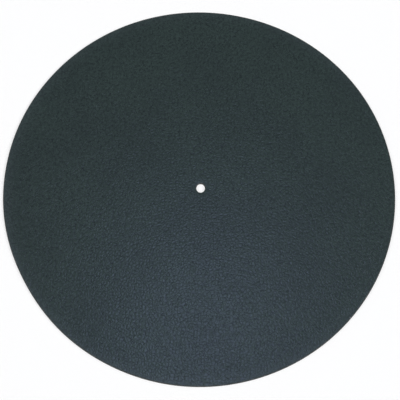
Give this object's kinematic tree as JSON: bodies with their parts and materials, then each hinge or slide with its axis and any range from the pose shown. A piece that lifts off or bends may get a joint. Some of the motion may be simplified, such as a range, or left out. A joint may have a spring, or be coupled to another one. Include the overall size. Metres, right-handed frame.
{
  "type": "turntable platter mat",
  "caption": "Flat round leather mat, grain side up, with a small round hole through its middle for the spindle of a record player's platter.",
  "frame": {"origin": "centre of the flesh side, on the mat's axis, where the mat lies on the platter", "axes": "+Z along the mat's axis, away from the platter and out of the grain side; X and Y are alike"},
  "size_m": [0.3, 0.3, 0.002],
  "materials": {
    "leather": "satin"
  },
  "bodies": {
    "root": {"leather_mat": "leather"}
  },
  "joints": []
}
